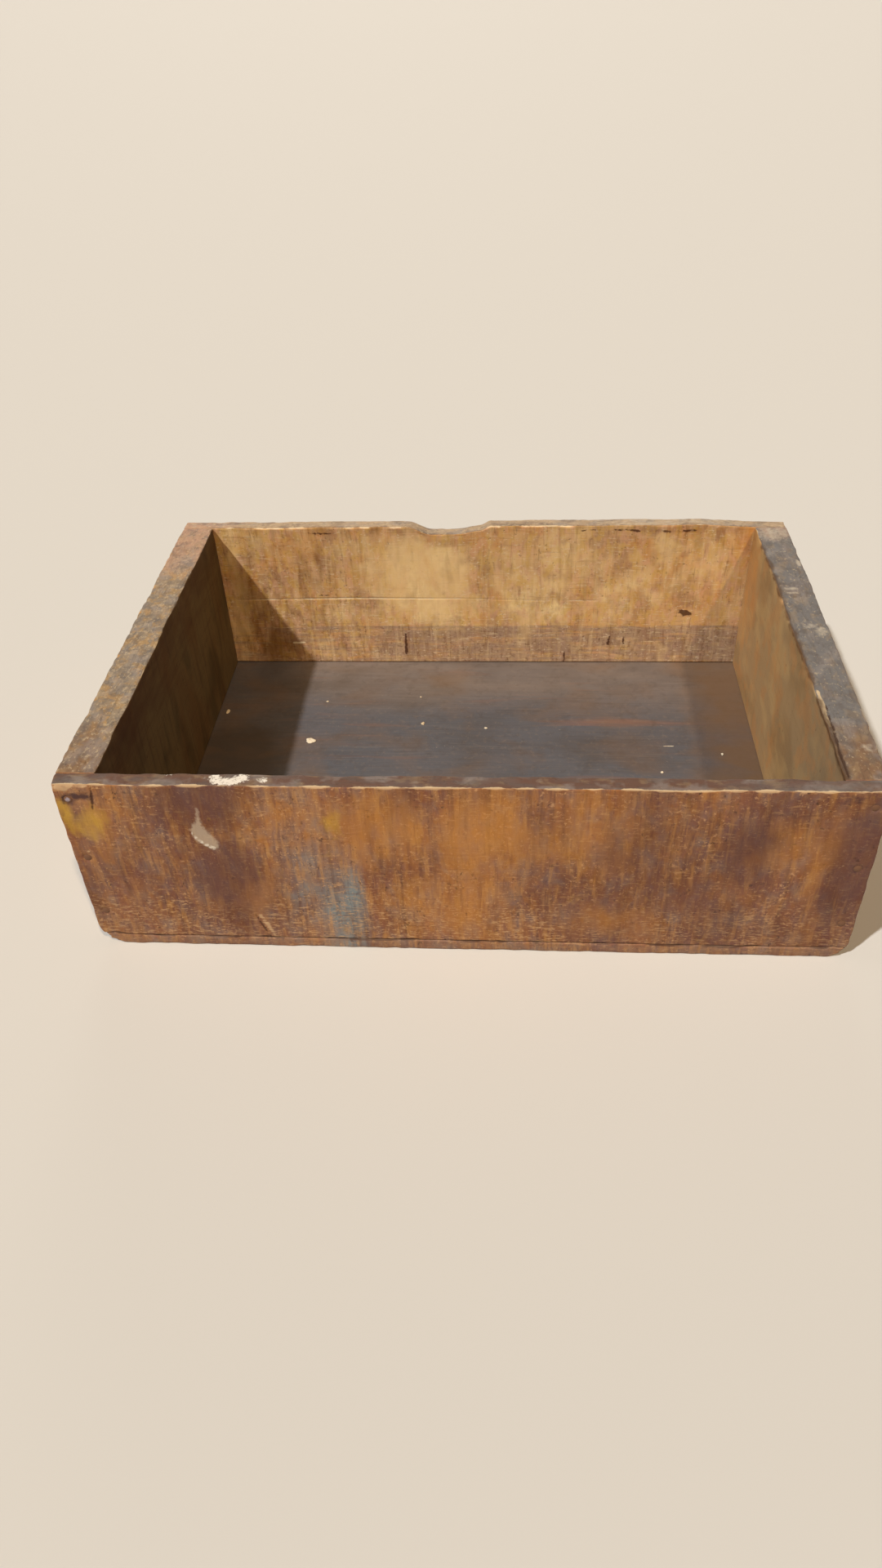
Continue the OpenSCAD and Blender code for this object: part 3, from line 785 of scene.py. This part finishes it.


# Bottom board
# A thin pine board nailed on from below, over the edges of the other four. Its corners are worn round.
# Its top is the floor of the box, rubbed smooth by what was kept in it. Its grey-brown carries painted
# reflections, painted shade and painted bounce light.

# Polished pine: smooth and a little glossy from use, with faint grain. Its colour is painted bluish grey in
# front and warm brown at the back as painted reflections of the room and of the back wall, darker on the
# left as painted shade, and lighter brown on the right as painted bounce light from the right end.
floor_tints = [
    dict(tone="#796c62", size=(120, 60, 30), over=(0.50, 1.10), strength=0.85, marks=("painted_warm_reflection",), detail=2),
    dict(tone="#52545a", size=(90, 40, 30), over=(0.50, 0.95), strength=0.70, marks=("grey_and_painted_reflection",), detail=2),
    dict(tone="#473d36", size=(60, 14, 10), over=(0.50, 0.80), strength=0.34, marks=("dark_and_painted_shade",), detail=3),
    dict(tone="#8a5f48", size=(70, 7, 10), over=(0.60, 0.85), strength=0.45, marks=("red",)),
    dict(tone="#857a70", size=(30, 1.2, 4), over=(0.54, 0.74), strength=0.20, relief=0.02),
    dict(tone="#3c332d", size=(40, 1.5, 4), over=(0.54, 0.74), strength=0.22, relief=-0.03),
    dict(tone="#453b34", size=(5, 5, 4), over=(0.52, 0.68), strength=0.22),
    dict(tone="#807266", size=(3, 3, 4), over=(0.54, 0.70), strength=0.22),
    dict(tone="#a69c90", size=(1.6, 1.6, 4), over=(0.69, 0.77), strength=0.35),
    dict(tone="#46392b", size=(40, 30, 10), over=(0.50, 1.20), strength=0.80, marks=("brown_and_painted_shade",), detail=2),
    dict(tone="#74573a", size=(40, 30, 10), over=(0.50, 1.00), strength=0.72, marks=("tan_and_painted_bounce",), detail=2),
]
# The underside and the edges have the stain of the other boards, under more dust.
dusty = dict(tone="#8c7564", size=(12, 6, 6), over=(0.36, 0.70), strength=0.45)
bottom_floor = tinted("polished_pine_floor", "#5a585c", floor_tints, rough=0.46)
bottom_outside = tinted("stained_pine_bottom", "#8a664b", outside_tints + [dusty], rough=0.64)
# The usual and the greatest radius of a worn edge, how much nicks change it, and the corners in plan.
bottom_edge, most_bottom_edge, bottom_nicks, plan_corner = 0.9, 2.6, 0.3, 2
# How far in from the outline the floor's finish starts, which the walls hide, and the depth of its wear.
wall_under, floor_wear = 4, 2

low, high = corners(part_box("bottom_board"))
rows = [
    row_of_heads(f"bottom_{wall}_nails", axis, count) for wall, axis, count in (
        ("front", ALONG_X, LONG_ROW), ("back", ALONG_X, LONG_ROW),
        ("left", ALONG_Y, SHORT_ROW), ("right", ALONG_Y, SHORT_ROW))]
heads = np.concatenate([row for row, _ in rows])
head_radius = rows[0][1]
head_xs, head_ys = (np.unique(heads[:, axis].round(3)) for axis in (ALONG_X, ALONG_Y))
flat, cells = board_skin(
    grid_lines(low[0], high[0], step=2.2, fine_step=0.6, places=(low[0], *head_xs, high[0]), reach=2.6),
    grid_lines(low[1], high[1], step=2.2, fine_step=0.6, places=(low[1], *head_ys, high[1]), reach=2.6),
    grid_lines(low[2], high[2], step=0.8, fine_step=0.35, places=(low[2], high[2]), reach=1.5))
x, y, z = flat.T
nicks = unevenness(flat, 8, 301) + unevenness(flat, 24, 302)
shaped = eased(flat, low, high, np.clip(bottom_edge + bottom_nicks * nicks, least_edge, most_bottom_edge))
distance = head_distance(flat, heads, ALONG_Z)
under = 1 - smooth(0, FACE_DEPTH, z - low[2])
shaped[:, 2] += under * nail_pit(distance, head_radius)
floor = smooth(high[2] - floor_wear, high[2], z)
shaped[:, 2] -= floor * np.clip(0.1 + 0.06 * unevenness(flat, 70, 303), 0, 0.3)
shaped = round_corners(shaped, low, high, ALONG_X, ALONG_Y, (plan_corner,) * 4)
shaped = knocked_corners(shaped)
front_y = low[1]
at_front = 1 - smooth(0, FACE_DEPTH, y - front_y)
smudge = soft_spots(flat, [((-53, front_y, 2), (11, 4, 14), 0.70)])
marks = {
    "rub": np.exp(-edge_gap(flat, low, high) / 0.9) * under * (0.3 + 0.3 * unevenness(flat, 16, 304)),
    # Painted reflection: warm brown at the back, where the floor mirrors the back wall.
    "painted_warm_reflection": 0.70 * smooth(45, 112, y) * smooth(-140, -95, x),
    # Painted reflection: bluish grey in front, where the floor mirrors the room over the back wall.
    "grey_and_painted_reflection": 0.4 * (1 - smooth(20, 95, y + 10 * unevenness(flat, 90, 305))),
    # Painted shade: darker in the left end's shadow, most towards the front.
    "brown_and_painted_shade": (1 - smooth(-135, -95, x)) * (0.24 + 0.66 * (1 - smooth(0, 80, y))),
    # Painted bounce light: lighter brown by the right end, as if lit by light off its golden inside.
    "tan_and_painted_bounce": 0.5 * smooth(108, 142, x),
    "dark_and_painted_shade": soft_spots(flat, [
        ((-70, 70, high[2]), (34, 5, 3), 0.25), ((88, 22, high[2]), (34, 16, 3), 0.2),
        ((0, front_y, 0), (170, 3, 3), 0.20)]),
    "red": soft_spots(flat, [
        ((84, 50, high[2]), (40, 4, 4), 0.35), ((-84, 56, high[2]), (30, 6, 4), 0.15)]),
    "blue": smudge * (1 - smooth(-47, -42, x)) * at_front,
    "iron": 0.6 * np.exp(-(distance / 3.0) ** 2) * under,
    "crack": np.exp(-((high[2] - z) / 1.4) ** 2) * (0.54 + 0.16 * unevenness(flat, 18, 308)),
    "fleck": np.full(len(flat), -0.02),
}
inside = (np.abs(x) < box_high[0] - wall_under) & (np.abs(y) < box_high[1] - wall_under) & (z == high[2])
bottom_board = piece_from(
    "worn_bottom_board", shaped, cells, (bottom_outside, bottom_floor), inside[cells].all(axis=1), marks)
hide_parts("bottom_board")
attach(bottom_board, "root")


# Nails
# Plain wire nails with low crowned heads, driven through the front and back into the ends, and up through
# the bottom into all four walls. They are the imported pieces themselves, in old rusted steel.

# Rusted steel: a matt, grainy crust that is as brown as the wood. The eye sees bare grey metal on the top
# left head of the front, which hands have rubbed, brightest in its middle.
rust_grain, rust_height = 0.9, 0.08
rub_reach, rub_core = 1.7, 0.6
nail_steel = bpy.data.materials.new("rusted_nail_steel")
tree = empty_tree(nail_steel)
place = add(tree, "ShaderNodeTexCoord", "Object")
rust = add(tree, "ShaderNodeTexNoise", "Fac", {
    "Vector": place, "Scale": 1 / (rust_grain * MM), "Detail": 4})
from_head = add(tree, "ShaderNodeVectorMath", "Value", {
    "Vector": place, "Vector_001": left_top * MM}, operation="DISTANCE")
rubbed = add(tree, "ShaderNodeMapRange", "Result", {
    "Value": from_head, "From Min": rub_reach * MM, "From Max": rub_core * MM, "To Max": 0.6})
bare = add(tree, "ShaderNodeMath", "Value", {"Value": rust, "Value_001": rubbed}, operation="ADD")
bright = add(tree, "ShaderNodeMapRange", "Result", {"Value": bare, "From Min": 0.72, "From Max": 1.15})
steel_colour = add(tree, "ShaderNodeMix", "Result_Color", {
    "Factor_Float": bright, "A_Color": linear("#694730"), "B_Color": linear("#b3a9b6")}, data_type="RGBA")
steel_rough = add(tree, "ShaderNodeMapRange", "Result", {"Value": bright, "To Min": 0.75, "To Max": 0.38})
steel_normal = add(tree, "ShaderNodeBump", "Normal", {"Height": rust, "Distance": rust_height * MM})
surface = add(tree, "ShaderNodeBsdfPrincipled", "BSDF", {
    "Base Color": steel_colour, "Metallic": bright, "Roughness": steel_rough, "Normal": steel_normal})
add(tree, "ShaderNodeOutputMaterial", sockets={"Surface": surface})
for name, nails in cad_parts.items():
    if name.endswith("_nails"):
        nails.data.materials.clear()
        nails.data.materials.append(nail_steel)


# Dried specks
# Drops of paint and bits of plaster that fell into the box later and dried fast to its floor. Each is a
# small flattened bead, half sunk in the floor, and the last one is a thin streak.

# Dried paint: a matt film that has yellowed. The eye sees cream, tan on some specks, with brown pits.
speck_tints = [
    dict(tone="#c9ad7f", size=(30, 30, 30), over=(0.50, 0.60), strength=0.60),
    dict(tone="#8d7a61", size=(1.2, 1.2, 1.2), over=(0.55, 0.68), strength=0.50, relief=-0.05),
]
dried_paint = tinted("dried_paint", "#dccfb6", speck_tints, rough=0.80)
floor_z = high[2]
SPECKS = (
    # Middle along X and Y, half length along X and Y, and height
    (-97, 31, 2.7, 2.2, 0.9), (-32.5, 48, 1.0, 1.2, 0.7), (4.8, 44, 0.8, 0.8, 0.6),
    (138, 21, 0.7, 1.0, 0.6), (103, 4.5, 0.7, 0.8, 0.5), (-152, 59, 1.2, 2.0, 0.7),
    (-92.5, 70, 0.7, 0.6, 0.4), (-35.7, 75, 0.6, 0.6, 0.4), (109, 28, 3.0, 0.22, 0.12))
# A bead is a cube's grid blown up to a ball, with lumps that are a share of its radius.
bead_lines, lump, lump_length = 9, 0.12, 1.2
lattice, bead_cells = board_skin(*[np.linspace(-1, 1, bead_lines)] * 3)
bead = lattice / np.linalg.norm(lattice, axis=1, keepdims=True)
points, cells = [], []
for number, (middle_x, middle_y, reach_x, reach_y, speck_height) in enumerate(SPECKS):
    cells.append(bead_cells + number * len(bead))
    lumpy = bead * (1 + lump * unevenness(bead, lump_length, 400 + number))[:, None]
    points.append(lumpy * (reach_x, reach_y, speck_height) + (middle_x, middle_y, floor_z))
points, cells = np.concatenate(points), np.concatenate(cells)
dried_specks = piece_from("dried_specks", points, cells, (dried_paint,), np.zeros(len(cells)), {})
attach(dried_specks, "root")


# Studio
# A plain pale matt floor in a pale room, lit by three suns: the key from the upper left in front, a weaker
# one from the right, and a faint, broad one from behind.

# From the middle of the floor to each side
stage_half = 14000
stage_corners = np.array([(-1, -1, 0), (1, -1, 0), (1, 1, 0), (-1, 1, 0)]) * stage_half
one_cell = np.array([(0, 1, 2, 3)])
pale_floor = bpy.data.materials.new("pale_matt_floor")
tree = empty_tree(pale_floor)
surface = add(tree, "ShaderNodeBsdfPrincipled", "BSDF", {"Base Color": linear("#cbc9c4"), "Roughness": 0.9})
add(tree, "ShaderNodeOutputMaterial", sockets={"Surface": surface})
studio_floor = piece_from("studio_floor", stage_corners, one_cell, (pale_floor,), np.zeros(1), {})

# How much the room lights the box, and how bright the room looks itself, straight on or mirrored
ROOM_GLOW, ROOM_SEEN = 0.045, 0.85
world = bpy.data.worlds.new("pale_room")
bpy.context.scene.world = world
tree = empty_tree(world)
seen = 0.0
for ray in ("Is Camera Ray", "Is Glossy Ray", "Is Transmission Ray"):
    on_ray = add(tree, "ShaderNodeLightPath", ray)
    seen = add(tree, "ShaderNodeMath", "Value", {"Value": seen, "Value_001": on_ray}, operation="MAXIMUM")
strength = add(tree, "ShaderNodeMapRange", "Result", {
    "Value": seen, "To Min": ROOM_GLOW, "To Max": ROOM_SEEN})
room_colour = add(tree, "ShaderNodeMix", "Result_Color", {
    "Factor_Float": seen, "A_Color": linear("#ffe2b8"), "B_Color": linear("#f6f1e8")}, data_type="RGBA")
sky = add(tree, "ShaderNodeBackground", "Background", {"Color": room_colour, "Strength": strength})
add(tree, "ShaderNodeOutputWorld", sockets={"Surface": sky})

FULL_SUN = np.pi
for name, towards, level, spread, light_colour in (
        ("key_light", (-0.445, -0.385, 0.81), 0.96, 2, "#fffdfa"),
        ("right_light", (0.28, -0.45, 0.82), 0.46, 2.5, "#ffe0b8"),
        ("back_light", (-0.1, 0.97, 0.21), 0.24, 30, "#fff6ea")):
    sun = bpy.data.lights.new(name, "SUN")
    sun.energy = level * FULL_SUN
    sun.angle = np.radians(spread)
    sun.color = linear(light_colour)[:3]
    lamp = bpy.data.objects.new(name, sun)
    back = np.array(towards) / np.linalg.norm(towards)
    side_way = np.cross((0, 0, 1), back)
    side_way /= np.linalg.norm(side_way)
    turned = np.eye(4)
    turned[:3, :3] = np.stack([side_way, np.cross(back, side_way), back], axis=1)
    lamp.matrix_world = Matrix(turned.tolist())
    bpy.context.scene.collection.objects.link(lamp)

# The camera stands where the photograph was taken from, worked out from the box's edges.
EYE = np.array((23.0, -458.4, 385.6)) * MM
PITCH, YAW, ROLL = np.radians((39.96, -5.25, 2.83))
ahead = np.array((np.sin(YAW) * np.cos(PITCH), np.cos(YAW) * np.cos(PITCH), -np.sin(PITCH)))
level_right = np.array((np.cos(YAW), -np.sin(YAW), 0))
level_down = np.cross(ahead, level_right)
right = np.cos(ROLL) * level_right + np.sin(ROLL) * level_down
down = np.cos(ROLL) * level_down - np.sin(ROLL) * level_right
stand = np.eye(4)
stand[:3, :3] = np.stack([right, -down, -ahead], axis=1)
stand[:3, 3] = EYE
camera_data = bpy.data.cameras.new("camera")
camera_data.lens = 24.62
camera_data.sensor_width = 36
camera_data.clip_start = 0.01
camera_data.clip_end = 100
camera = bpy.data.objects.new("camera", camera_data)
camera.matrix_world = Matrix(stand.tolist())
bpy.context.scene.collection.objects.link(camera)
bpy.context.scene.camera = camera
bpy.context.scene.view_settings.view_transform = "Standard"
